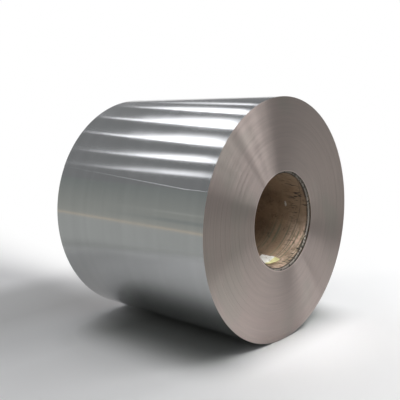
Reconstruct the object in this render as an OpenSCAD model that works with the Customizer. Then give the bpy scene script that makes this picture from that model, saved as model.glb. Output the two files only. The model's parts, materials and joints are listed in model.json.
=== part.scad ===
// Aluminium strip wound on a paperboard core tube, lying on its side.
// The winding axis runs along Y. The origin is on the floor, under the middle of the coil.

/* [Coil] */
// Outside diameter of the wound coil
coil_od = 1300; // [800:10:1800]
// Width of the strip, which is the length of the coil along its axis
strip_width = 1100; // [400:10:1600]
// Thickness of the strip, and so of one turn
strip_thickness = 1; // [0.4:0.1:3]

/* [Winding] */
// Turns that lie flush with each other before the strip wanders sideways
turns_per_band = 8; // [4:1:20]
// How far a band of turns may sit to either side of the middle
side_wander = 0.8; // [0.2:0.1:3]
// Height of the strip's free end above the winding axis, as an angle round the coil
tail_angle = 20; // [0:1:80]

/* [Core tube] */
// Bore of the core tube, which takes an expanding mandrel
core_bore = 505; // [300:1:610]
// Wall of the core tube
core_wall = 12.5; // [5:0.5:25]
// How far each end of the core tube sits inside the coil's end
core_recess = 12; // [4:1:60]

/* [Label] */
// Length of the paper label, measured along the bore
label_length = 140; // [40:5:200]
// Width of the paper label, measured round the wall of the bore
label_width = 100; // [40:5:150]
// Thickness of the paper label
label_thickness = 0.4; // [0.1:0.1:0.5]
// Distance from the front end of the core tube to the label
label_inset = 60; // [10:5:150]
// Place of the label's middle, from the bottom of the bore up the side away from the free end
label_angle = 12; // [-90:1:90]

/* [Hidden] */
$fn = 180;

coil_radius = coil_od / 2;
bore_radius = core_bore / 2;
core_radius = bore_radius + core_wall;
core_length = strip_width - 2 * core_recess;

band_pitch = turns_per_band * strip_thickness;
band_count = floor((coil_radius - core_radius) / band_pitch);
// Irregular steps round the circle, so that no two neighbouring bands sit alike
wander_step = 137.5;
wander_swell = 61;

// The last half turn has its centre this far from the winding axis
spiral_shift = strip_thickness / 2;
axis_height = coil_radius - spiral_shift * (1 - sin(tail_angle));
// Makes a cut pass right through
overshoot = 10;

// Sideways place of one band, which reaches the limit at the bore and, the other way, at the rim
function wander(band) =
    band == 0 ? -side_wander :
    band == band_count - 1 ? side_wander :
    side_wander * sin(band * wander_step) * cos(band * wander_swell);

function band_start(band) = core_radius + band * band_pitch;
function band_end(band, rim) = band == band_count - 1 ? rim : band_start(band + 1);

// Stepped edge of the winding at one end of the coil, from the bore out to the rim
function end_edge(rim, end) = [
    for (band = [0 : band_count - 1])
        for (radius = [band == 0 ? band_start(0) - band_pitch : band_start(band), band_end(band, rim)])
            [radius, end * strip_width / 2 + wander(band)]
];

function reversed(points) = [for (i = [len(points) - 1 : -1 : 0]) points[i]];

// Half of the winding, with a bore that is still too small
module half_winding(rim) {
    rotate_extrude(angle = 180)
        polygon(concat(end_edge(rim, -1), reversed(end_edge(rim, 1))));
}

// The two halves have centres apart, so the free end stands one thickness off the turn below it
module strip_coil() {
    color([0.62, 0.63, 0.63])
    translate([0, 0, axis_height])
    rotate([-90, 180 + tail_angle, 0])
    difference() {
        union() {
            half_winding(coil_radius);
            translate([-spiral_shift, 0, 0])
            rotate([0, 0, 180])
                half_winding(coil_radius - spiral_shift);
        }
        cylinder(r = core_radius, h = strip_width + 2 * overshoot, center = true);
    }
}

// Paperboard tube that the strip is wound on
module core_tube() {
    color([0.45, 0.34, 0.24])
    translate([0, 0, axis_height])
    rotate([90, 0, 0])
    difference() {
        cylinder(r = core_radius, h = core_length, center = true);
        cylinder(r = bore_radius, h = core_length + overshoot, center = true);
    }
}

// Paper label pasted in the bore near its front end
module core_label() {
    label_arc = label_width / bore_radius * 180 / PI;
    color([0.93, 0.92, 0.88])
    translate([0, label_inset - core_length / 2, axis_height])
    rotate([-90, 90 - label_angle - label_arc / 2, 0])
    rotate_extrude(angle = label_arc)
    translate([bore_radius - label_thickness, 0])
        square([label_thickness, label_length]);
}

strip_coil();
core_tube();
core_label();
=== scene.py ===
# Looks and stage for a coil of aluminium strip on a paperboard core tube.
# The winding axis runs along Y, the floor is at z = 0, and every size is in metres.
import json
import math
from functools import reduce
from types import SimpleNamespace

import bpy
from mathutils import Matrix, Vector

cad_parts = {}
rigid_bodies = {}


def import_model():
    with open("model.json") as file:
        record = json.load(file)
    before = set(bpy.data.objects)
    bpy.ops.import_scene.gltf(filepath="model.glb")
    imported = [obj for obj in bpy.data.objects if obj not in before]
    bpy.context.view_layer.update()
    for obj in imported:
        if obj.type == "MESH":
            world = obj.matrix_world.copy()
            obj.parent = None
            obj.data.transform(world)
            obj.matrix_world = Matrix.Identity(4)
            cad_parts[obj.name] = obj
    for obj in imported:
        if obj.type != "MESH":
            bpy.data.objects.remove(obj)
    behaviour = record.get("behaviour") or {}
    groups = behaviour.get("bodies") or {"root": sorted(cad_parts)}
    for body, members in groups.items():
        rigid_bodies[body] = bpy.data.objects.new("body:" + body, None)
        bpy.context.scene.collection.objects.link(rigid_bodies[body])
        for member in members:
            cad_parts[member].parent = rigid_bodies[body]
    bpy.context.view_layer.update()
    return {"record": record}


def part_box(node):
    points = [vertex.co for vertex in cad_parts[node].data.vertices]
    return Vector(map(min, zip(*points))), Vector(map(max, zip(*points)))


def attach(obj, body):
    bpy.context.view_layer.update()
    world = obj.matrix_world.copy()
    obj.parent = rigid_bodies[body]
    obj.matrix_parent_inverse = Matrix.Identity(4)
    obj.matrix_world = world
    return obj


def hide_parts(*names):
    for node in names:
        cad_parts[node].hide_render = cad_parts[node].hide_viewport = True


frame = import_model()

bl_info = {
    "name": "Aluminium Coil",
    "version": (1, 0, 0),
    "blender": (4, 5, 0),
    "location": "3D View > Sidebar > Coil",
    "description": "Models a coil of aluminium strip and sets the stage for it",
    "category": "Object",
}

MOUNTS = {mount["name"]: mount for mount in frame["record"]["mounts"]}
AXIS_HEIGHT = MOUNTS["mandrel_bore"]["pos_m"][2]
BORE_RADIUS = MOUNTS["mandrel_bore"]["dims"]["r_mm"] / 1000
COIL_LOW, COIL_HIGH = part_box("strip_coil")
COIL_RADIUS = COIL_HIGH.x
CORE_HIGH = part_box("core_tube")[1]
CORE_RADIUS = CORE_HIGH.x
CORE_HALF = CORE_HIGH.y
LABEL_LOW, LABEL_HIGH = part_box("core_label")
ALONG_AXIS = Vector((0, 1, 0))
CENTRE = Vector((0, 0, AXIS_HEIGHT))
# Two points closer than this are the same one
SAME_POINT = 1e-6
# A spin's rounding leaves points that belong together up to this far apart
SPIN_ROUNDING = 1e-5
# Width of the camera's sensor in millimetres
SENSOR_WIDTH = 36
WHITE = (1.0, 1.0, 1.0, 1.0)


# ----------------------------------------------------------------- properties


# What properties of one kind have in common
LENGTH = {"subtype": "DISTANCE", "unit": "LENGTH"}
ANGLE = {"subtype": "ANGLE", "unit": "ROTATION"}
SHARE = {"subtype": "FACTOR", "min": 0, "max": 1}
COLOUR = {"subtype": "COLOR", "size": 3, "min": 0, "max": 1}


class CoilShape(bpy.types.PropertyGroup):
    turn_thickness: bpy.props.FloatProperty(
        name="Turn thickness", description="Thickness of the strip, and so of one turn",
        min=0.0004, max=0.003, precision=4, default=0.001, **LENGTH)
    turns_per_band: bpy.props.IntProperty(
        name="Turns per band", description="Turns that lie flush before the strip wanders sideways",
        min=4, max=20, default=8)
    side_wander: bpy.props.FloatProperty(
        name="Side wander", description="How far a band of turns may sit to either side",
        min=0.0002, max=0.003, precision=4, default=0.0004, **LENGTH)
    tail_angle: bpy.props.FloatProperty(
        name="Free end angle", description="Angle above level of the free end at the coil's back",
        min=0, max=1.4, default=math.radians(24.6), **ANGLE)
    tail_slant: bpy.props.FloatProperty(
        name="Free end slant", description="How much further down the free end comes at the coil's front",
        min=0.01, max=0.2, default=math.radians(6.2), **ANGLE)
    tail_corner: bpy.props.FloatProperty(
        name="Free end corner", description="How much of the slant the clipped front corner takes off",
        default=0.12, **SHARE)
    tail_lip: bpy.props.FloatProperty(
        name="Free end lip", description="Width of the bent lip along the free end",
        min=0.001, max=0.01, precision=4, default=0.002, **LENGTH)
    tail_lift: bpy.props.FloatProperty(
        name="Free end lift", description="How far the lip bends outwards",
        min=0, max=0.003, precision=4, default=0.0002, **LENGTH)
    paper_thickness: bpy.props.FloatProperty(
        name="Label thickness", description="Thickness of the label's paper",
        min=0.0001, max=0.002, precision=4, default=0.0003, **LENGTH)
    label_lift: bpy.props.FloatProperty(
        name="Label lift", description="How far the label's creases and front edge lift",
        min=0, max=0.02, precision=3, default=0.008, **LENGTH)
    spin_steps: bpy.props.IntProperty(
        name="Steps in half a turn", description="Faces round half of the coil",
        min=32, max=160, default=128)


class CoilFinish(bpy.types.PropertyGroup):
    rolled_colour: bpy.props.FloatVectorProperty(
        name="Rolled face", description="Colour of the strip's rolled face",
        default=(0.62, 0.63, 0.63), **COLOUR)
    rolled_roughness: bpy.props.FloatProperty(
        name="Rolled face roughness", description="Roughness of the strip's rolled face",
        default=0.13, **SHARE)
    edge_colour: bpy.props.FloatVectorProperty(
        name="Slit edges", description="Colour of the slit edges that make up the coil's ends",
        default=(0.555, 0.474, 0.442), **COLOUR)
    edge_roughness: bpy.props.FloatProperty(
        name="Slit edge roughness", description="Roughness of the slit edges",
        default=0.40, **SHARE)
    board_colour: bpy.props.FloatVectorProperty(
        name="Paperboard", description="Colour of clean paperboard",
        default=(0.37, 0.26, 0.17), **COLOUR)
    # pale scuffs, partly painted light where the lamps' light falls into the bore's low side near the front
    scuff_and_lit_colour: bpy.props.FloatVectorProperty(
        name="Scuffed paperboard", description="Colour where the paperboard is scuffed",
        default=(0.80, 0.60, 0.46), **COLOUR)
    cut_colour: bpy.props.FloatVectorProperty(
        name="Cut paperboard", description="Colour of the core's cut ends",
        default=(0.50, 0.455, 0.40), **COLOUR)
    damp_colour: bpy.props.FloatVectorProperty(
        name="Stained ridges", description="Colour of the stained ridges between plies",
        default=(0.17, 0.18, 0.12), **COLOUR)
    ply_pitch: bpy.props.FloatProperty(
        name="Ply pitch", description="How far a ply moves along the core in one turn",
        min=0.05, max=1, default=0.32, **LENGTH)
    scrape_angle: bpy.props.FloatProperty(
        name="Scrape angle", description="Angle above level of the pale scrape in the bore",
        min=0, max=math.pi / 2, default=math.radians(12), **ANGLE)
    dirt_colour: bpy.props.FloatVectorProperty(
        name="Dirt", description="Colour of the dirt in the core tube",
        default=(0.035, 0.030, 0.022), **COLOUR)
    label_colour: bpy.props.FloatVectorProperty(
        name="Label", description="Colour of the label's paper",
        default=(0.88, 0.87, 0.83), **COLOUR)
    label_band_colour: bpy.props.FloatVectorProperty(
        name="Label band", description="Colour of the band across the label's front",
        default=(0.86, 0.82, 0.42), **COLOUR)


class StageSettings(bpy.types.PropertyGroup):
    camera_target: bpy.props.FloatVectorProperty(
        name="Camera target", description="Point that the camera looks at",
        subtype="TRANSLATION", unit="LENGTH", size=3, default=(-0.206, -0.139, 0.746))
    camera_azimuth: bpy.props.FloatProperty(
        name="Camera azimuth", description="Angle of the camera round the coil, from its front",
        default=math.radians(-48.34), **ANGLE)
    camera_elevation: bpy.props.FloatProperty(
        name="Camera elevation", description="Angle of the camera above its target",
        default=math.radians(7.637), **ANGLE)
    camera_distance: bpy.props.FloatProperty(
        name="Camera distance", description="Distance from the camera to its target",
        min=0.5, default=3.3, **LENGTH)
    camera_lens: bpy.props.FloatProperty(
        name="Camera lens", description="Focal length", unit="CAMERA", min=10, default=54.5)
    lamp_height: bpy.props.FloatProperty(
        name="Lamp height", description="Height of the rows of lamps above the floor",
        min=2, default=3.65, **LENGTH)
    studio_radius: bpy.props.FloatProperty(
        name="Studio radius", description="Distance from the coil to the backdrop",
        min=6, default=13, **LENGTH)
    backdrop_height: bpy.props.FloatProperty(
        name="Backdrop height", description="Height of the backdrop",
        min=1, default=4.3, **LENGTH)
    side_wall_distance: bpy.props.FloatProperty(
        name="Side wall distance", description="Distance from the coil to the dim side wall",
        min=2, default=3.8, **LENGTH)
    floor_colour: bpy.props.FloatVectorProperty(
        name="Floor", description="Colour of the pale floor",
        default=(0.90, 0.90, 0.90), **COLOUR)
    shade_colour: bpy.props.FloatVectorProperty(
        name="Floor in the shade", description="Colour that the floor's dim parts fade to",
        default=(0.42, 0.43, 0.42), **COLOUR)
    wall_colour: bpy.props.FloatVectorProperty(
        name="Dim studio", description="Colour of the dim studio round the pale backdrop",
        default=(0.24, 0.243, 0.248), **COLOUR)
    side_wall_colour: bpy.props.FloatVectorProperty(
        name="Side wall", description="Colour of the dim side wall's top",
        default=(0.25, 0.266, 0.26), **COLOUR)
    wall_foot_colour: bpy.props.FloatVectorProperty(
        name="Side wall's foot", description="Colour that the side wall fades to at the floor",
        default=(0.39, 0.395, 0.37), **COLOUR)
    skirting_colour: bpy.props.FloatVectorProperty(
        name="Skirting", description="Colour of the skirting at the side wall's foot",
        default=(0.61, 0.53, 0.43), **COLOUR)


# -------------------------------------------------------------- shader helpers


class Shading:
    """Adds nodes to a tree and wires them up as it goes."""

    def __init__(self, tree):
        self.tree = tree
        self.tree.nodes.clear()

    def add(self, kind, inputs=None, **settings):
        """A new node with those inputs, each a value or the socket that it comes from."""
        node = self.tree.nodes.new(kind)
        for name, value in settings.items():
            setattr(node, name, value)
        for name, value in (inputs or {}).items():
            self.feed(node.inputs[name], value)
        return node

    def feed(self, socket, value):
        if isinstance(value, bpy.types.NodeSocket):
            self.tree.links.new(value, socket)
        else:
            socket.default_value = value

    def maths(self, operation, *values):
        node = self.add("ShaderNodeMath", operation=operation)
        for socket, value in zip(node.inputs, values):
            self.feed(socket, value)
        return node.outputs[0]

    def times(self, *values):
        """The product of those values."""
        return reduce(lambda first, second: self.maths("MULTIPLY", first, second), values)

    def most(self, *values):
        """The greatest of those values."""
        return reduce(lambda first, second: self.maths("MAXIMUM", first, second), values)

    def vector(self, operation, *values):
        node = self.add("ShaderNodeVectorMath", operation=operation)
        for socket, value in zip(node.inputs, values):
            self.feed(socket, value)
        return node.outputs["Value" if operation in {"LENGTH", "DOT_PRODUCT"} else "Vector"]

    def combine(self, x, y, z):
        return self.add("ShaderNodeCombineXYZ", {"X": x, "Y": y, "Z": z}).outputs[0]

    def separate(self, vector):
        return self.add("ShaderNodeSeparateXYZ", {"Vector": vector}).outputs

    def place(self):
        return self.add("ShaderNodeTexCoord").outputs["Object"]

    def noise(self, vector, scale, detail=2.0, roughness=0.5):
        inputs = {"Vector": vector, "Scale": scale, "Detail": detail, "Roughness": roughness}
        return self.add("ShaderNodeTexNoise", inputs).outputs["Fac"]

    def span(self, value, low, high, new_low=0.0, new_high=1.0, smooth=False):
        """Maps low..high onto new_low..new_high, and clamps."""
        inputs = {"Value": value, "From Min": low, "From Max": high,
                  "To Min": new_low, "To Max": new_high}
        kind = "SMOOTHSTEP" if smooth else "LINEAR"
        return self.add("ShaderNodeMapRange", inputs, interpolation_type=kind).outputs["Result"]

    def band(self, value, rise, fall, smooth=True):
        """1 between two edges and 0 outside them: each edge is where it starts and where it ends."""
        return self.times(self.span(value, *rise, smooth=smooth), self.span(value, *fall, smooth=smooth))

    def mix(self, factor, first, second):
        """The first colour where the factor is 0, and the second where it is 1."""
        node = self.add("ShaderNodeMix", data_type="RGBA")
        sockets = {socket.identifier: socket for socket in [*node.inputs, *node.outputs]}
        self.feed(sockets["Factor_Float"], factor)
        self.feed(sockets["A_Color"], first)
        self.feed(sockets["B_Color"], second)
        return sockets["Result_Color"]

    def surface(self, shader):
        self.add("ShaderNodeOutputMaterial", {"Surface": shader})

    def principled(self, inputs):
        """Gives the material a principled surface with those inputs."""
        self.surface(self.add("ShaderNodeBsdfPrincipled", inputs).outputs["BSDF"])

    def bump(self, height, strength, distance, under=None):
        inputs = {"Height": height, "Strength": strength, "Distance": distance}
        if under is not None:
            inputs["Normal"] = under
        return self.add("ShaderNodeBump", inputs).outputs["Normal"]


def solid(colour, gain=1.0):
    """A colour socket's value from a colour, made lighter or darker by gain."""
    return (*(min(part * gain, 1.0) for part in colour), 1.0)


def new_material(name):
    material = bpy.data.materials.new(name)
    material.use_nodes = True
    return material, Shading(material.node_tree)


def round_axis(nodes):
    """Radius and angle about the winding axis, and the arm that points straight out from it."""
    offset = nodes.separate(nodes.vector("SUBTRACT", nodes.place(), CENTRE))
    arm = nodes.combine(offset["X"], 0.0, offset["Z"])
    return nodes.vector("LENGTH", arm), nodes.maths("ARCTAN2", offset["Z"], offset["X"]), arm


# ----------------------------------------------------------------- materials


def rolled_face_material(finish):
    """Bright rolled aluminium: fine lines along the strip, which runs round the coil."""
    material, nodes = new_material("rolled_face")
    place = nodes.place()
    along = nodes.separate(place)["Y"]

    # the rolls leave lines that run round the coil, so they change only along the axis
    stretched = nodes.vector("MULTIPLY", place, (0.5, 1.0, 0.5))
    fine_lines = nodes.noise(stretched, 420.0, 3.0, 0.6)
    broad_lines = nodes.noise(nodes.combine(0.0, along, 0.0), 14.0, 2.0)
    clouds = nodes.noise(place, 3.1, 3.0)
    tone = nodes.maths("ADD", nodes.span(broad_lines, 0.3, 0.7, -0.5, 0.5),
                       nodes.span(clouds, 0.3, 0.7, -0.5, 0.5))
    colour = nodes.mix(nodes.span(tone, -1.0, 1.0),
                       solid(finish.rolled_colour, 0.95), solid(finish.rolled_colour, 1.05))

    # dull film of rolling oil in soft patches
    film = nodes.span(nodes.noise(place, 1.7, 2.0), 0.52, 0.72, 0.0, 0.05, smooth=True)
    dullness = nodes.maths("ADD", film, nodes.span(fine_lines, 0.2, 0.8, -0.01, 0.01))
    roughness = nodes.maths("ADD", dullness, finish.rolled_roughness)

    waves = nodes.bump(nodes.noise(place, 2.3, 1.0), 1.0, 0.0004)
    nodes.principled({
        "Base Color": colour, "Metallic": 1.0, "Roughness": roughness, "Anisotropic": 0.75,
        "Tangent": nodes.combine(0.0, 1.0, 0.0),
        "Normal": nodes.bump(fine_lines, 0.08, 0.0002, under=waves),
    })
    return material


def slit_edge_material(finish, shape):
    """Slit edges of the turns: fine rings, brighter and duller from one wrap to the next."""
    material, nodes = new_material("slit_edges")
    radius, angle, arm = round_axis(nodes)
    ring = nodes.combine(radius, 0.0, 0.0)
    # a slow swirl keeps the rings from being alike all the way round
    swirl = nodes.combine(radius, nodes.times(nodes.maths("SINE", angle), 0.02),
                          nodes.times(nodes.maths("COSINE", angle), 0.02))

    turns = nodes.noise(ring, 0.35 / shape.turn_thickness, 4.0, 0.75)
    wraps = nodes.noise(swirl, 70.0, 3.0, 0.6)
    clouds = nodes.noise(nodes.place(), 3.4, 3.0)
    tone = nodes.maths("ADD", nodes.span(turns, 0.25, 0.75, -0.5, 0.5),
                       nodes.span(wraps, 0.3, 0.7, -0.5, 0.5))
    colour = nodes.mix(nodes.span(tone, -1.0, 1.0),
                       solid(finish.edge_colour, 0.84), solid(finish.edge_colour, 1.14))
    green = tuple(part * share for part, share in zip(finish.edge_colour, (0.84, 0.97, 0.92)))
    colour = nodes.mix(nodes.span(clouds, 0.52, 0.70, 0.0, 0.35, smooth=True), colour, solid(green))

    # the innermost turns are painted lighter, a painted highlight along the bore's edge
    painted_rim_highlight = nodes.span(radius, CORE_RADIUS + 0.0055, CORE_RADIUS + 0.0035)
    colour = nodes.mix(nodes.times(painted_rim_highlight, nodes.span(clouds, 0.35, 0.6, 0.3, 0.8)),
                       colour, solid(finish.edge_colour, 1.6))

    roughness = nodes.maths("ADD", nodes.span(wraps, 0.3, 0.7, -0.05, 0.05), finish.edge_roughness)
    relief = nodes.bump(turns, 0.35, 0.0006)
    nodes.principled({
        "Base Color": colour, "Metallic": 1.0, "Roughness": roughness, "Anisotropic": 1.0,
        "Tangent": nodes.vector("NORMALIZE", arm), "Normal": relief,
    })
    return material


def core_patterns(nodes, finish):
    """The places and patterns that the core's colour, dirt and relief share."""
    place = nodes.place()
    along = nodes.separate(place)["Y"]
    radius, angle, arm = round_axis(nodes)
    # the plies run round the tube as helices
    turn = nodes.maths("DIVIDE", angle, 2 * math.pi)
    helix = nodes.maths("ADD", nodes.maths("DIVIDE", along, finish.ply_pitch), turn)
    off_seam = nodes.maths("ABSOLUTE", nodes.maths("SUBTRACT", nodes.maths("FRACT", helix), 0.5))
    ridge_place = nodes.combine(nodes.times(helix, 19.0), turn, 0.0)
    return SimpleNamespace(
        place=place,
        radius=radius,
        depth=nodes.maths("SUBTRACT", CORE_HALF, nodes.maths("ABSOLUTE", along)),
        low_side=nodes.span(nodes.separate(arm)["Z"], 0.02, -0.12, smooth=True),
        seam=nodes.span(off_seam, 0.0, 0.011, 1.0, 0.0, smooth=True),
        ridges=nodes.noise(ridge_place, 1.0, 3.0, 0.6),
        fibres=nodes.noise(nodes.vector("MULTIPLY", place, (1.0, 0.25, 1.0)), 240.0, 4.0, 0.7),
        stains=nodes.noise(place, 9.0, 5.0, 0.65),
    )


def board_surface(nodes, core, finish):
    """Colour of the board under the dirt: fibres, pale scuffs that are partly painted light on the bore's low
    side near the front, stains, damp ridges and cut ends.
    """
    board = nodes.mix(nodes.span(core.fibres, 0.3, 0.7), solid(finish.board_colour, 0.84),
                      solid(finish.board_colour, 1.14))
    # painted light: the pale scuffs show only near the front and on the low side of the bore, where the
    # lamps' light falls in
    near_end = nodes.span(core.depth, 0.16, 0.03, smooth=True)
    scuffs = nodes.span(nodes.noise(core.place, 21.0, 3.0, 0.6), 0.36, 0.54, 0.35, 1.0, smooth=True)
    board = nodes.mix(nodes.times(scuffs, near_end, core.low_side), board, solid(finish.scuff_and_lit_colour))
    board = nodes.mix(nodes.span(core.stains, 0.42, 0.70, 0.0, 0.75, smooth=True), board,
                      solid(finish.board_colour, 0.56))

    damp = nodes.times(nodes.span(core.ridges, 0.46, 0.58, 0.0, 0.85, smooth=True),
                       nodes.span(nodes.noise(core.place, 5.0), 0.34, 0.48, smooth=True),
                       nodes.span(core.depth, 0.34, 0.20, smooth=True), core.low_side)
    board = nodes.mix(damp, board, solid(finish.damp_colour))

    # the cut ends are paler and greyer than the rolled wall
    cut = nodes.mix(nodes.span(core.fibres, 0.35, 0.65), solid(finish.cut_colour, 0.75),
                    solid(finish.cut_colour))
    cut_end = nodes.times(nodes.span(core.depth, 0.005, 0.003),
                          nodes.span(core.radius, BORE_RADIUS + 0.002, BORE_RADIUS + 0.004))
    return nodes.mix(cut_end, board, cut)


def core_dirt(nodes, core):
    """Smudges, specks drawn out along the axis near the ends, a grimy inner edge and dirty seams."""
    smudges = nodes.span(nodes.noise(core.place, 26.0, 4.0, 0.7), 0.58, 0.70, 0.0, 0.6, smooth=True)
    drawn_out = nodes.vector("MULTIPLY", core.place, (1.0, 0.22, 1.0))
    specks = nodes.times(nodes.span(nodes.noise(drawn_out, 70.0, 2.0, 0.5), 0.56, 0.61),
                         nodes.span(nodes.noise(core.place, 7.0), 0.38, 0.46),
                         nodes.span(core.depth, 0.15, 0.07))
    inner_edge = nodes.times(nodes.span(core.depth, 0.014, 0.006),
                             nodes.span(core.radius, BORE_RADIUS + 0.005, BORE_RADIUS + 0.003),
                             nodes.span(core.stains, 0.36, 0.48, 0.3, 1.0))
    return nodes.most(smudges, specks, inner_edge, nodes.times(core.seam, 0.7))


def pale_scrape(nodes, core, finish):
    """One pale scrape on the bore's wall, a hand's length in from the front."""
    scrape_depth = 0.145
    middle = on_coil(BORE_RADIUS, math.pi - finish.scrape_angle, scrape_depth - CORE_HALF)
    offset = nodes.vector("MULTIPLY", nodes.vector("SUBTRACT", core.place, middle), (1.0, 0.9, 0.3))
    distance = nodes.maths("ADD", nodes.vector("LENGTH", offset),
                           nodes.span(core.fibres, 0.2, 0.8, -0.003, 0.003))
    return nodes.span(distance, 0.0065, 0.004, 0.0, 0.7)


def paperboard_material(finish):
    """Spiral-wound paperboard: ply seams and ridges in the bore, scuffs with painted light on the bore's low
    side near the front, stains and dirt.
    """
    material, nodes = new_material("paperboard")
    core = core_patterns(nodes, finish)
    colour = nodes.mix(nodes.times(core_dirt(nodes, core), 0.9),
                       board_surface(nodes, core, finish), solid(finish.dirt_colour))
    colour = nodes.mix(pale_scrape(nodes, core, finish), colour, solid(finish.label_colour))

    relief = nodes.bump(core.ridges, 0.5, 0.0012, under=nodes.bump(core.fibres, 0.3, 0.0008))
    nodes.principled({
        "Base Color": colour, "Roughness": nodes.span(core.stains, 0.3, 0.7, 0.62, 0.85),
        "Normal": nodes.bump(core.seam, 0.6, 0.0015, under=relief),
    })
    return material


def label_material(finish):
    """Creased and scuffed label paper, with a coloured band across its front end."""
    material, nodes = new_material("label_paper")
    place = nodes.place()
    creases = nodes.noise(place, 34.0, 3.0, 0.6)
    # how far back from the front, a little uneven so that the band's edge is too
    back = nodes.maths("ADD", nodes.separate(place)["Y"],
                       nodes.span(nodes.noise(place, 60.0), 0.3, 0.7, -0.001, 0.001))
    front_band = nodes.span(back, LABEL_LOW.y + 0.052, LABEL_LOW.y + 0.050)
    paper = nodes.mix(front_band, solid(finish.label_colour), solid(finish.label_band_colour))
    scuffs = nodes.span(nodes.noise(place, 90.0, 3.0, 0.6), 0.60, 0.72, 0.0, 0.7, smooth=True)
    colour = nodes.mix(scuffs, paper, solid(finish.board_colour, 0.6))
    nodes.principled({
        "Base Color": colour, "Roughness": nodes.span(creases, 0.3, 0.7, 0.35, 0.6),
        "Normal": nodes.bump(creases, 0.5, 0.002),
    })
    return material


# ---------------------------------------------------------- modelling helpers


def on_coil(radius, angle, along):
    """A point at that radius and angle, which counts from level on the -X side up over the top."""
    return Vector((-radius * math.cos(angle), along, AXIS_HEIGHT + radius * math.sin(angle)))


def from_axis(point):
    """How far a point is from the winding axis."""
    return Vector((point.x, point.z - AXIS_HEIGHT)).length


def start_mesh(name, add_primitive, **settings):
    """Adds a primitive with that name, selected alone."""
    bpy.ops.object.select_all(action="DESELECT")
    add_primitive(**settings)
    bpy.context.object.name = name
    bpy.context.object.data.name = name
    return bpy.context.object


def draw_section(name, points):
    """Starts a piece in edit mode, as a line from point to point that is selected all over."""
    piece = start_mesh(name, bpy.ops.mesh.primitive_plane_add, size=0.01, location=points[0])
    bpy.ops.object.transform_apply(location=True, rotation=False, scale=False)
    bpy.ops.object.mode_set(mode="EDIT")
    bpy.ops.mesh.select_mode(type="VERT")
    bpy.ops.mesh.select_all(action="SELECT")
    bpy.ops.mesh.merge(type="CENTER")
    for start, end in zip(points, points[1:]):
        bpy.ops.mesh.extrude_region_move(TRANSFORM_OT_translate={"value": end - start})
    # a closed section ends at the point that it starts from
    bpy.ops.mesh.select_all(action="SELECT")
    bpy.ops.mesh.remove_doubles(threshold=SAME_POINT)
    return piece


def select_in_edit_mode(piece, kind, wanted):
    """Selects the vertices or faces for which wanted is true, and raises an error if none are."""
    bpy.ops.mesh.select_mode(type="FACE" if kind == "faces" else "VERT")
    bpy.ops.mesh.select_all(action="DESELECT")
    bpy.ops.object.mode_set(mode="OBJECT")
    parts = piece.data.polygons if kind == "faces" else piece.data.vertices
    for part in parts:
        part.select = wanted(part)
    found = any(part.select for part in parts)
    bpy.ops.object.mode_set(mode="EDIT")
    if not found:
        raise RuntimeError(f"{piece.name}: no {kind} to select")


def add_clouds(piece, name, size, strength, mid_level, direction="NORMAL", vertex_group=""):
    """Moves the surface in and out by a cloudy pattern of that size."""
    texture = bpy.data.textures.new(name, "CLOUDS")
    texture.noise_scale = size
    bpy.ops.object.modifier_add(type="DISPLACE")
    modifier = piece.modifiers[-1]
    modifier.texture = texture
    modifier.texture_coords = "LOCAL"
    modifier.direction = direction
    modifier.vertex_group = vertex_group
    modifier.mid_level = mid_level
    modifier.strength = strength
    bpy.ops.object.modifier_apply(modifier=modifier.name)


def finish_piece(piece, node, smooth_angle):
    """Turns the faces outward, smooths what is round, and puts the piece in the frame."""
    bpy.ops.object.mode_set(mode="EDIT")
    bpy.ops.mesh.select_all(action="SELECT")
    bpy.ops.mesh.normals_make_consistent(inside=False)
    bpy.ops.object.mode_set(mode="OBJECT")
    bpy.ops.object.shade_smooth_by_angle(angle=smooth_angle)
    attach(piece, "root")
    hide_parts(node)


# ------------------------------------------------------------ the wound strip


def winding_bands(shape):
    """Inner radius, outer radius and sideways place of each band of turns that lie flush."""
    pitch = shape.turns_per_band * shape.turn_thickness
    bands = []
    inner = CORE_RADIUS
    # widths and sideways places follow waves out of step with each other, so they look irregular
    while inner < COIL_RADIUS - SAME_POINT:
        number = len(bands)
        outer = inner + pitch * (1 + 0.45 * math.sin(number * 1.94))
        if outer > COIL_RADIUS - pitch / 2:
            outer = COIL_RADIUS
        side = shape.side_wander * math.sin(number * 2.4) * math.cos(number * 1.06)
        bands.append((inner, outer, side))
        inner = outer
    first, last = bands[0], bands[-1]
    bands[0] = (*first[:2], -shape.side_wander)
    bands[-1] = (*last[:2], shape.side_wander)
    return bands


def winding_section(shape):
    """Closed section of the winding at the free end's angle: outside, near end, bore, far end."""
    half = COIL_HIGH.y - shape.side_wander
    steps = []
    for inner, outer, side in winding_bands(shape):
        steps.append((inner, side))
        steps.append((outer, side))
    under_last_turn = (COIL_RADIUS - shape.turn_thickness, shape.side_wander)
    steps.insert(-1, under_last_turn)
    far = [on_coil(radius, shape.tail_angle, half + side) for radius, side in steps]
    near = [on_coil(radius, shape.tail_angle, side - half) for radius, side in steps]
    return [far[-1], *near[::-1], *far]


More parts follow.
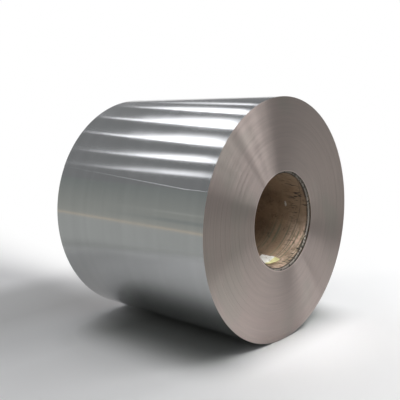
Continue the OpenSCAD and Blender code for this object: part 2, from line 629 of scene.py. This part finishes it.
class COIL_OT_wound_strip(bpy.types.Operator):
    """Model the wound strip as two half turns whose centres are a little apart, and its free end"""
    bl_idname = "coil.wound_strip"
    bl_label = "Wound strip"

    def execute(self, context):
        shape = context.scene.coil_shape
        finish = context.scene.coil_finish
        piece = draw_section("wound_strip", winding_section(shape))
        # the second centre is half a thickness away from the free end, so the last turn ends in a step
        shift = shape.turn_thickness / 2
        for centre in (CENTRE, on_coil(-shift, shape.tail_angle, 0)):
            bpy.ops.mesh.spin(steps=shape.spin_steps, angle=math.pi, center=centre, axis=-ALONG_AXIS)
        bpy.ops.mesh.edge_face_add()
        bpy.ops.mesh.select_non_manifold()
        bpy.ops.mesh.edge_face_add()
        self.add_free_end(piece, shape)
        self.assign_finishes(piece, shape, finish)
        finish_piece(piece, "strip_coil", math.radians(30))
        return {"FINISHED"}

    def add_free_end(self, piece, shape):
        """Runs the last turn on past the step, cuts it askew, and bends a lip along the cut."""
        out = on_coil(1, shape.tail_angle, 0) - CENTRE
        onward = out.cross(ALONG_AXIS)
        self.select_step(piece, shape, out, onward)
        # the last turn runs on as far as the clipped corner, and the slanting cut leaves only that part
        lengths = 6
        places = [self.on_tail(shape, (1 - shape.tail_corner) * length / lengths, 0)
                  for length in range(lengths + 1)]
        for start, end in zip(places, places[1:]):
            bpy.ops.mesh.extrude_region_move(TRANSFORM_OT_translate={"value": end - start})
        for length in range(lengths):
            bpy.ops.mesh.select_more()
        front = self.on_tail(shape, 1, COIL_LOW.y)
        # at the back too, the cut stays a little clear of the step
        back = self.on_tail(shape, 0.02, COIL_HIGH.y)
        bpy.ops.mesh.bisect(plane_co=front, plane_no=out.cross(back - front), use_fill=True, clear_outer=True)

        def is_cut(face):
            at_rim = (face.center - CENTRE).dot(out) > (COIL_RADIUS - shape.turn_thickness) * 0.98
            return at_rim and abs(face.normal.dot(onward)) > 0.9

        # a narrow flat strip first, so that the lip's bend doesn't shade the rest of the free end
        select_in_edit_mode(piece, "faces", is_cut)
        for rise in (0, shape.tail_lift):
            bpy.ops.mesh.extrude_region_move(TRANSFORM_OT_translate={
                "value": onward * shape.tail_lip + out * rise})

    def select_step(self, piece, shape, out, onward):
        """Joins the corners under the last turn's end, and selects the step's own face."""
        below = COIL_RADIUS - shape.turn_thickness
        near_ends = COIL_HIGH.y - 0.002

        def is_corner(vertex):
            arm = vertex.co - CENTRE
            return (abs(arm.dot(onward)) < SPIN_ROUNDING and abs(arm.dot(out) - below) < SPIN_ROUNDING
                    and abs(vertex.co.y) > near_ends)

        def is_step(face):
            arm = face.center - CENTRE
            return (len(face.vertices) == 4 and abs(arm.dot(onward)) < SPIN_ROUNDING
                    and abs(arm.dot(out) - below - shape.turn_thickness / 2) < SPIN_ROUNDING)

        select_in_edit_mode(piece, "vertices", is_corner)
        bpy.ops.mesh.vert_connect()
        select_in_edit_mode(piece, "faces", is_step)

    def on_tail(self, shape, share, along):
        """A point on top of the free end, at that share of the slant past the step."""
        return on_coil(COIL_RADIUS, shape.tail_angle - shape.tail_slant * share, along)

    def assign_finishes(self, piece, shape, finish):
        """Rolled face round the outside and in the bore, slit edges on the ends."""
        piece.data.materials.append(slit_edge_material(finish, shape))
        piece.data.materials.append(rolled_face_material(finish))
        # deeper faces that look outwards are the steps between the bands
        skin = 0.0015

        def is_rolled(face):
            inside = CORE_RADIUS + skin < from_axis(face.center) < COIL_RADIUS - skin
            return abs(face.normal.y) < 0.5 and not inside

        select_in_edit_mode(piece, "faces", is_rolled)
        piece.active_material_index = 1
        bpy.ops.object.material_slot_assign()


# -------------------------------------------------------------- the core tube


class COIL_OT_core_tube(bpy.types.Operator):
    """Model the paperboard core tube, with its plies showing on worn ends"""
    bl_idname = "coil.core_tube"
    bl_label = "Core tube"

    def execute(self, context):
        finish = context.scene.coil_finish
        shape = context.scene.coil_shape
        piece = draw_section("paperboard_core", self.section())
        bpy.ops.mesh.spin(steps=2 * shape.spin_steps, angle=2 * math.pi,
                          center=CENTRE, axis=-ALONG_AXIS)
        bpy.ops.mesh.select_all(action="SELECT")
        bpy.ops.mesh.remove_doubles(threshold=SPIN_ROUNDING)
        bpy.ops.mesh.normals_make_consistent(inside=False)
        self.wear_ends(piece)
        piece.data.materials.append(paperboard_material(finish))
        finish_piece(piece, "core_tube", math.radians(40))
        return {"FINISHED"}

    def section(self):
        """Closed section of the tube's wall: outside, near end, bore, far end."""
        plies = 6
        wall = CORE_RADIUS - BORE_RADIUS
        groove_depth = 0.0012
        # the outside stops a little short of the end, which rounds the edge off
        end = [(CORE_RADIUS, CORE_HALF - 0.001)]
        for ply in range(plies):
            outer = CORE_RADIUS - wall * ply / plies
            inner = CORE_RADIUS - wall * (ply + 1) / plies
            groove = wall / plies * 0.2
            end.append((outer - groove, CORE_HALF))
            end.append((inner + groove, CORE_HALF))
            end.append((inner, CORE_HALF - groove_depth))
        # rows of points into the bore, close together where the end is worn
        rows = (0.003, 0.006, 0.010, 0.016, 0.026, 0.05, 0.1)
        end += [(BORE_RADIUS, CORE_HALF - row) for row in rows]
        far = [on_coil(radius, 0, along) for radius, along in end]
        near = [on_coil(radius, 0, -along) for radius, along in end]
        return [far[0], *near, *far[::-1]]

    def wear_ends(self, piece):
        """Frays and dents the ends, and leaves the outside that the strip lies on as it is."""
        bpy.ops.object.vertex_group_add()
        group = piece.vertex_groups.active
        group.name = "worn_ends"
        wear_depth = 0.011

        def is_worn(vertex):
            inside = from_axis(vertex.co) < CORE_RADIUS - 0.001
            return inside and abs(vertex.co.y) > CORE_HALF - wear_depth

        select_in_edit_mode(piece, "vertices", is_worn)
        bpy.ops.object.vertex_group_assign()
        bpy.ops.object.mode_set(mode="OBJECT")
        for name, size, strength in (("dents", 0.045, 0.0035), ("fraying", 0.009, 0.0016)):
            add_clouds(piece, name, size, strength, mid_level=0.62, vertex_group=group.name)


# ------------------------------------------------------------------ the label


class COIL_OT_label(bpy.types.Operator):
    """Model the creased paper label in the bore, torn at its front and lifting there"""
    bl_idname = "coil.label"
    bl_label = "Label"

    def execute(self, context):
        shape = context.scene.coil_shape
        finish = context.scene.coil_finish
        piece = self.add_sheet(shape.paper_thickness)
        # the torn corners: how far the tear runs in from the side, and back from the front
        self.tear(1, inward=0.024, back=0.050)
        self.tear(-1, inward=0.030, back=0.016)
        # the front curls up in steps, each of which starts nearer to the front edge
        curl = (0.030, 0.020, 0.012, 0.006)
        for start in curl:
            select_in_edit_mode(piece, "vertices", lambda vertex: vertex.co.y < LABEL_LOW.y + start)
            bpy.ops.transform.translate(value=(0, 0, shape.label_lift / len(curl)))
        bpy.ops.object.mode_set(mode="OBJECT")
        add_clouds(piece, "creases", size=0.022, strength=shape.label_lift, mid_level=0.0, direction="Z")
        bpy.ops.object.modifier_add(type="SOLIDIFY")
        piece.modifiers[-1].thickness = shape.paper_thickness
        piece.modifiers[-1].offset = 0
        bpy.ops.object.modifier_apply(modifier=piece.modifiers[-1].name)
        piece.data.materials.append(label_material(finish))
        finish_piece(piece, "core_label", math.radians(60))
        return {"FINISHED"}

    def add_sheet(self, paper):
        """The flat sheet bent to the bore, over the place of the CAD node's box."""
        left, right = (math.asin(corner.x / BORE_RADIUS) for corner in (LABEL_LOW, LABEL_HIGH))
        radius = BORE_RADIUS - paper
        rows = 42
        side = [Vector((radius * math.sin(left),
                        LABEL_LOW.y + (LABEL_HIGH.y - LABEL_LOW.y) * row / rows,
                        AXIS_HEIGHT - radius * math.cos(left))) for row in range(rows + 1)]
        piece = draw_section("paper_label", side)
        bpy.ops.mesh.spin(steps=30, angle=right - left, center=CENTRE, axis=ALONG_AXIS)
        return piece

    def tear(self, side, inward, back):
        """Cuts a front corner off along a slant: the right one for a side of 1, the left for -1."""
        corner_x = LABEL_HIGH.x if side > 0 else LABEL_LOW.x
        bpy.ops.mesh.select_all(action="SELECT")
        bpy.ops.mesh.bisect(plane_co=(corner_x, LABEL_LOW.y + back, 0),
                            plane_no=(side * back, -inward, 0), clear_outer=True)


# ------------------------------------------------------------------ the stage


def camera_place(stage):
    """Where the camera stands."""
    flat = math.cos(stage.camera_elevation)
    direction = Vector((flat * math.sin(stage.camera_azimuth), -flat * math.cos(stage.camera_azimuth),
                        math.sin(stage.camera_elevation)))
    return Vector(stage.camera_target) + direction * stage.camera_distance


def aim(thing, target):
    """Turns a lamp or the camera to face that point."""
    thing.rotation_euler = (target - thing.location).to_track_quat("-Z", "Y").to_euler()


def mirrored(eye, angle, along, height):
    """Where the coil's outside, at that angle and place, mirrors the eye's ray onto a level plane."""
    point = on_coil(COIL_RADIUS, angle, along)
    normal = on_coil(1, angle, 0) - CENTRE
    ray = point - eye
    ray -= 2 * ray.dot(normal) * normal
    return point + ray * (height - point.z) / ray.z


def lamp_material(name, reach, radiance):
    """Light panel that is crisp along one side, and fades across and towards its far end."""
    material, nodes = new_material(name)
    across, along = nodes.separate(nodes.add("ShaderNodeTexCoord").outputs["UV"])[:2]
    taper = nodes.maths("SUBTRACT", 1.0, nodes.maths("POWER", along, 2.2))
    share = nodes.maths("DIVIDE", across, nodes.most(taper, 0.12))
    strength = nodes.times(nodes.span(share, 1.0, 0.3, smooth=True),
                           nodes.span(along, reach, reach - 0.7, smooth=True), radiance)
    emission = nodes.add("ShaderNodeEmission", {"Color": (0.96, 0.96, 1.0, 1.0), "Strength": strength})
    both = nodes.add("ShaderNodeAddShader")
    nodes.feed(both.inputs[0], emission.outputs["Emission"])
    nodes.feed(both.inputs[1], nodes.add("ShaderNodeBsdfTransparent").outputs["BSDF"])
    nodes.surface(both.outputs["Shader"])
    return material


# Streaks that the rows of lamps leave on the coil's side, as angles round the coil in degrees:
# lower and upper edge at the near end, tip at the far end, how far along the coil the light
# reaches (1 is the far end), and how bright it is
STREAKS = (
    (67.2, 69.8, 77.0, 0.8, 1.8),
    (58.7, 64.4, 69.5, 1.0, 3.8),
    (48.6, 57.4, 57.0, 1.2, 4.4),
    (38.8, 46.0, 45.0, 1.15, 4.0),
    (31.0, 35.2, 33.6, 1.0, 3.0),
    (24.8, 28.0, 25.5, 1.0, 1.6),
)
# Width of a streak's tip, in degrees
STREAK_TIP = 1.5

# Short lamps in front of the coil, as their place across it and how bright they are. Each leaves
# a pair of rays on the rings of the coil's front end
FRONT_LAMPS = (
    (-4.4, 150.0),
    (-2.9, 120.0),
    (-1.75, 80.0),
    (-0.85, 60.0),
    (0.3, 72.0),
    (1.25, 64.0),
    (2.15, 33.0),
)
FRONT_LAMP_WIDTH = 0.14
FRONT_LAMP_LENGTH = 0.7
# Place of the front lamps and of the soft lamp along the coil's axis
LAMP_FRONT = -2.6


class COIL_OT_stage(bpy.types.Operator):
    """Set up the floor, the walls, the lamps, the world and the camera"""
    bl_idname = "coil.stage"
    bl_label = "Stage"

    def execute(self, context):
        stage = context.scene.coil_stage
        eye = camera_place(stage)
        self.add_floor(stage)
        self.add_backdrop(stage)
        self.add_side_wall(stage)
        for number, (low, high, tip, reach, radiance) in enumerate(STREAKS, 1):
            corners = [mirrored(eye, math.radians(angle), along, stage.lamp_height)
                       for angle, along in ((low, COIL_LOW.y), (high, COIL_LOW.y),
                                            (tip, COIL_HIGH.y), (tip + STREAK_TIP, COIL_HIGH.y))]
            self.add_lamp_row(f"lamp_row_{number}", corners, reach, radiance)
        self.add_front_lamps(stage)
        self.add_soft_lamps(stage)
        self.add_world(context, stage)
        self.add_camera(context, stage, eye)
        context.scene.view_settings.view_transform = "Standard"
        return {"FINISHED"}

    def add_floor(self, stage):
        floor = start_mesh("studio_floor", bpy.ops.mesh.primitive_circle_add, vertices=128,
                           radius=stage.studio_radius, fill_type="NGON")
        floor.data.materials.append(self.ground_material(stage))

    def ground_material(self, stage):
        """Pale in the camera's view, with painted shade outside it and beside the coil's far part, and a
        painted shadow under the coil.
        """
        material, nodes = new_material("studio_floor")
        place = nodes.place()
        x, y = nodes.separate(place)[:2]
        shade = self.outside_view(nodes, place, stage)
        # painted shadow: the floor's colour is darker under the coil
        under = nodes.times(nodes.band(x, (-0.80, -0.42), (0.80, 0.42)),
                            nodes.band(y, (-0.75, -0.40), (0.60, 0.22)))
        # painted shade: the floor's colour is darker beside the coil's far part
        beside = nodes.times(nodes.band(x, (-1.5, -1.0), (0.1, -0.3)),
                             nodes.span(y, 0.20, 0.85, 0.0, 0.5), nodes.span(y, 1.65, 1.25, smooth=True))
        painted_shade = nodes.most(shade, under, beside)
        diffuse = nodes.add("ShaderNodeBsdfDiffuse", {
            "Color": nodes.mix(painted_shade, solid(stage.floor_colour), solid(stage.shade_colour, 0.75))})

        # far from the coil, what the camera and shiny surfaces see keeps its colour
        path = nodes.add("ShaderNodeLightPath").outputs
        seen = nodes.most(path["Is Camera Ray"], path["Is Glossy Ray"], path["Is Transmission Ray"])
        far = nodes.span(nodes.vector("LENGTH", place), 0.95, 1.8, smooth=True)
        open_floor = nodes.most(shade, self.ahead(nodes, place, stage))
        # the painted shade beside the coil's far part darkens the glow there too
        glow = nodes.add("ShaderNodeEmission", {
            "Color": nodes.mix(beside, nodes.mix(shade, WHITE, solid(stage.shade_colour)),
                               solid(stage.shade_colour, 0.6))})
        both = nodes.add("ShaderNodeMixShader", {"Fac": nodes.times(far, open_floor, seen)})
        nodes.feed(both.inputs[1], diffuse.outputs["BSDF"])
        nodes.feed(both.inputs[2], glow.outputs["Emission"])
        nodes.surface(both.outputs["Shader"])
        return material

    def outside_view(self, nodes, place, stage):
        """0 on the floor in the camera's view, and 1 past the view's left, right and near edges."""
        eye = camera_place(stage)
        half_view = math.atan(SENSOR_WIDTH / 2 / stage.camera_lens)
        from_eye = nodes.vector("SUBTRACT", place, (eye.x, eye.y, 0.0))
        # each edge as the heading that points out of the view, and how far out it starts
        sideways = half_view * 1.05 + math.pi / 2
        reach = eye.z / math.tan(stage.camera_elevation + half_view)
        edges = ((stage.camera_azimuth + sideways, 0.0),
                 (stage.camera_azimuth - sideways, 0.0),
                 (stage.camera_azimuth + math.pi, -reach))
        fade = 0.45
        outside = 0.0
        for heading, start in edges:
            beyond = nodes.vector("DOT_PRODUCT", from_eye, (-math.sin(heading), math.cos(heading), 0.0))
            outside = nodes.most(outside, nodes.span(beyond, start, start + fade, smooth=True))
        return outside

    def ahead(self, nodes, place, stage):
        """1 within 34 degrees of where the camera faces past the coil, and 0 from 58 degrees on."""
        heading = (-math.sin(stage.camera_azimuth), math.cos(stage.camera_azimuth), 0.0)
        flat = nodes.vector("NORMALIZE", nodes.vector("MULTIPLY", place, (1.0, 1.0, 0.0)))
        return nodes.span(nodes.vector("DOT_PRODUCT", flat, heading),
                          math.cos(math.radians(58)), math.cos(math.radians(34)), smooth=True)

    def add_backdrop(self, stage):
        """A round wall that is white behind the coil and dim elsewhere."""
        height = stage.backdrop_height
        wall = start_mesh("studio_backdrop", bpy.ops.mesh.primitive_cylinder_add, vertices=128,
                          radius=stage.studio_radius, depth=height, end_fill_type="NOTHING",
                          location=(0, 0, height / 2))
        material, nodes = new_material(wall.name)
        colour = nodes.mix(self.ahead(nodes, nodes.place(), stage), solid(stage.wall_colour), WHITE)
        self.finish_wall(wall, material, nodes, colour)

    def add_side_wall(self, stage):
        """A dim wall, lighter towards its foot, with a skirting, and a rail over a dark strip."""
        height = 2.6
        length = 12
        wall = start_mesh("studio_side_wall", bpy.ops.mesh.primitive_plane_add, size=1,
                          location=(-stage.side_wall_distance, 2.5, height / 2),
                          rotation=(0, math.pi / 2, 0))
        bpy.ops.transform.resize(value=(1, length, height))
        material, nodes = new_material(wall.name)
        along, level = nodes.separate(nodes.place())[1:]
        colour = nodes.mix(nodes.span(level, 2.4, 0.0), solid(stage.side_wall_colour),
                           solid(stage.wall_foot_colour))
        # the strip and the rail are on the wall's front part
        front_part = nodes.span(along, 4.0, 2.6, smooth=True)
        strip = nodes.band(level, (0.42, 0.55), (0.74, 0.60))
        rail = nodes.band(level, (1.0, 1.03), (1.09, 1.06), smooth=False)
        colour = nodes.mix(nodes.times(strip, front_part), colour, solid(stage.side_wall_colour, 1.1))
        colour = nodes.mix(nodes.times(rail, front_part), colour, solid(stage.wall_foot_colour, 1.15))
        colour = nodes.mix(nodes.span(level, 0.12, 0.10), colour, solid(stage.skirting_colour))
        self.finish_wall(wall, material, nodes, colour)

    def finish_wall(self, wall, material, nodes, colour):
        """Gives the selected wall its place, its colour and its part in the stage."""
        bpy.ops.object.transform_apply(location=True, rotation=True, scale=True)
        nodes.surface(nodes.add("ShaderNodeEmission", {"Color": colour}).outputs["Emission"])
        wall.data.materials.append(material)
        wall.visible_diffuse = False

    def add_lamp_row(self, name, corners, reach, radiance):
        """A level light panel with those corners: two at its near end, then two at its far end."""
        panel = start_mesh(name, bpy.ops.mesh.primitive_plane_add, size=1)
        for vertex, corner in zip(panel.data.vertices, corners):
            vertex.co = corner
        panel.data.materials.append(lamp_material(name, reach, radiance))
        panel.visible_camera = False

    def add_front_lamps(self, stage):
        """Short lamps in front of the coil, which show only where a surface shines."""
        for number, (x, radiance) in enumerate(FRONT_LAMPS, 1):
            lamp = self.add_area_lamp(f"front_lamp_{number}", (x, LAMP_FRONT, stage.lamp_height),
                                      FRONT_LAMP_WIDTH, FRONT_LAMP_LENGTH, radiance)
            lamp.visible_diffuse = False

    def add_soft_lamps(self, stage):
        """Soft lamps for the floor, the paperboard and the label, which show in no shine."""
        soft_lamp = self.add_area_lamp("soft_lamp", (0.0, LAMP_FRONT, stage.lamp_height),
                                       width=4.8, length=0.7, radiance=9.6)
        side_lamp = self.add_area_lamp("side_lamp", (4.5, -0.4, 4.0), width=3.0, length=3.0, radiance=6.2)
        bore_lamp = self.add_area_lamp("bore_lamp", (0.25, -1.7, 3.6), width=0.3, length=0.3, radiance=2.6)
        bore_lamp.data.spread = math.radians(22)
        aim(bore_lamp, Vector((0.05, -0.5, 0.42)))
        for lamp in (soft_lamp, side_lamp, bore_lamp):
            lamp.visible_glossy = False

    def add_area_lamp(self, name, place, width, length, radiance):
        """A level lamp that shines straight down."""
        data = bpy.data.lights.new(name, "AREA")
        data.shape = "RECTANGLE"
        data.size = width
        data.size_y = length
        data.energy = radiance * math.pi * width * length
        lamp = bpy.data.objects.new(name, data)
        lamp.location = place
        bpy.context.scene.collection.objects.link(lamp)
        return lamp

    def add_world(self, context, stage):
        world = bpy.data.worlds.new("studio")
        context.scene.world = world
        world.use_nodes = True
        nodes = Shading(world.node_tree)
        background = nodes.add("ShaderNodeBackground", {"Color": solid(stage.wall_colour)})
        nodes.add("ShaderNodeOutputWorld", {"Surface": background.outputs["Background"]})

    def add_camera(self, context, stage, eye):
        data = bpy.data.cameras.new("camera")
        data.sensor_width = SENSOR_WIDTH
        data.lens = stage.camera_lens
        camera = bpy.data.objects.new("camera", data)
        camera.location = eye
        aim(camera, Vector(stage.camera_target))
        context.scene.collection.objects.link(camera)
        context.scene.camera = camera


class COIL_PT_sidebar(bpy.types.Panel):
    """Sizes, finishes and steps of the coil"""
    bl_idname = "COIL_PT_sidebar"
    bl_label = "Aluminium coil"
    bl_space_type = "VIEW_3D"
    bl_region_type = "UI"
    bl_category = "Coil"

    def draw(self, context):
        for group in (context.scene.coil_shape, context.scene.coil_finish, context.scene.coil_stage):
            for name in type(group).__annotations__:
                self.layout.prop(group, name)
        for operator in OPERATORS:
            self.layout.operator(operator.bl_idname)


OPERATORS = (COIL_OT_wound_strip, COIL_OT_core_tube, COIL_OT_label, COIL_OT_stage)
CLASSES = (CoilShape, CoilFinish, StageSettings, *OPERATORS, COIL_PT_sidebar)


def register():
    for cls in CLASSES:
        bpy.utils.register_class(cls)
    bpy.types.Scene.coil_shape = bpy.props.PointerProperty(type=CoilShape)
    bpy.types.Scene.coil_finish = bpy.props.PointerProperty(type=CoilFinish)
    bpy.types.Scene.coil_stage = bpy.props.PointerProperty(type=StageSettings)


def unregister():
    del bpy.types.Scene.coil_stage
    del bpy.types.Scene.coil_finish
    del bpy.types.Scene.coil_shape
    for cls in reversed(CLASSES):
        bpy.utils.unregister_class(cls)


def main():
    register()
    bpy.ops.coil.wound_strip()
    bpy.ops.coil.core_tube()
    bpy.ops.coil.label()
    bpy.ops.coil.stage()


if __name__ == "__main__":
    main()
